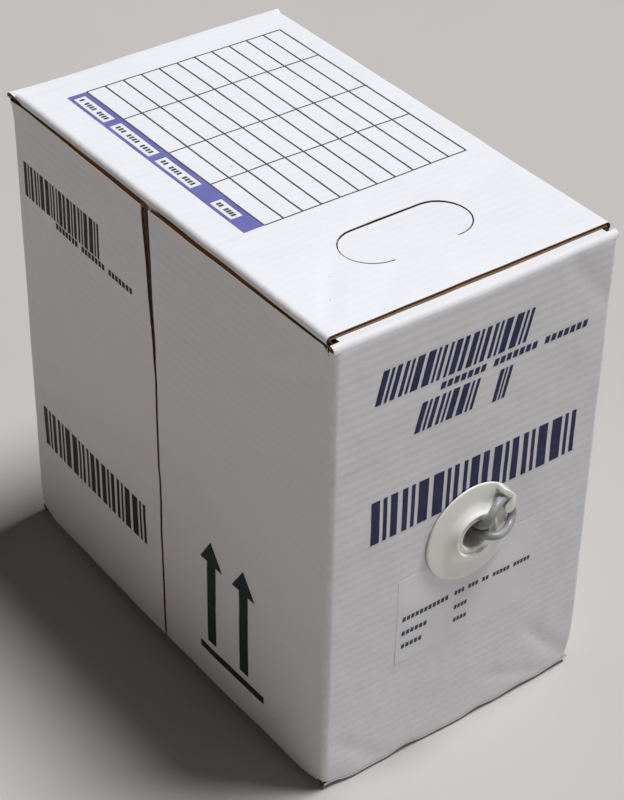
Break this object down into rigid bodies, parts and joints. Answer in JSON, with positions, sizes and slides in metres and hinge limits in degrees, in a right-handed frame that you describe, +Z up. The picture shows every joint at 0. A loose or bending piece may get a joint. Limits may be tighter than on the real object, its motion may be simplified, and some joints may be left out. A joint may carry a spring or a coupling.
{
  "type": "cable spool box",
  "caption": "Corrugated pull box for network cable: flapped carton, hand hold and payout port, with the cable wound on a spool that turns on a tube inside.",
  "frame": {"origin": "middle of the carton's underside, on the surface that it stands on", "axes": "+Z up; -Y is the face with the payout port; -X and +X are the flapped ends, so X is the carton sleeve and the spool axle"},
  "size_m": [0.215, 0.3717, 0.357],
  "materials": {
    "white_board": "matte",
    "kraft_board": "matte",
    "chipboard": "matte",
    "paper_tube": "matte",
    "label_paper": "satin",
    "port_plastic": "satin",
    "hub_plastic": "matte",
    "cable_jacket": "satin"
  },
  "bodies": {
    "carton": {"front_panel": "white_board", "top_panel": "white_board", "rear_panel": "white_board", "bottom_panel": "white_board", "glue_tab": "white_board", "spec_label": "label_paper", "payout_port": "port_plastic", "port_lock_ring": "hub_plastic", "axle_tube": "paper_tube", "axle_pad_left": "kraft_board", "axle_pad_right": "kraft_board", "axle_collar_left": "hub_plastic", "axle_collar_right": "hub_plastic", "cable_lead": "cable_jacket", "left_top_flap": "white_board", "left_bottom_flap": "white_board", "right_top_flap": "white_board", "right_bottom_flap": "white_board"},
    "handle_flap": {"handle_flap": "white_board"},
    "spool": {"spool_core": "paper_tube", "spool_flange_left": "chipboard", "spool_flange_right": "chipboard", "hub_bush_left": "hub_plastic", "hub_bush_right": "hub_plastic", "cable_winding": "cable_jacket"},
    "left_front_flap": {"left_front_flap": "white_board"},
    "left_rear_flap": {"left_rear_flap": "white_board"},
    "right_front_flap": {"right_front_flap": "white_board"},
    "right_rear_flap": {"right_rear_flap": "white_board"}
  },
  "joints": [
    {"name": "left_front_flap_fold", "type": "hinge", "parent": "carton", "child": "left_front_flap", "pos_m": [-0.1075, -0.1785, 0.1785], "axis": [0, 0, 1], "range_deg": [0, 180]},
    {"name": "left_rear_flap_fold", "type": "hinge", "parent": "carton", "child": "left_rear_flap", "pos_m": [-0.1075, 0.1785, 0.1785], "axis": [0, 0, -1], "range_deg": [0, 180]},
    {"name": "right_front_flap_fold", "type": "hinge", "parent": "carton", "child": "right_front_flap", "pos_m": [0.1075, -0.1785, 0.1785], "axis": [0, 0, -1], "range_deg": [0, 180]},
    {"name": "right_rear_flap_fold", "type": "hinge", "parent": "carton", "child": "right_rear_flap", "pos_m": [0.1075, 0.1785, 0.1785], "axis": [0, 0, 1], "range_deg": [0, 180]},
    {"name": "handle_flap_fold", "type": "hinge", "parent": "carton", "child": "handle_flap", "pos_m": [-0.002, -0.1289, 0.354], "axis": [-1, 0, 0], "range_deg": [0, 90]},
    {"name": "spool_spin", "type": "hinge", "parent": "carton", "child": "spool", "pos_m": [0, 0, 0.1785], "axis": [1, 0, 0], "continuous": true}
  ]
}
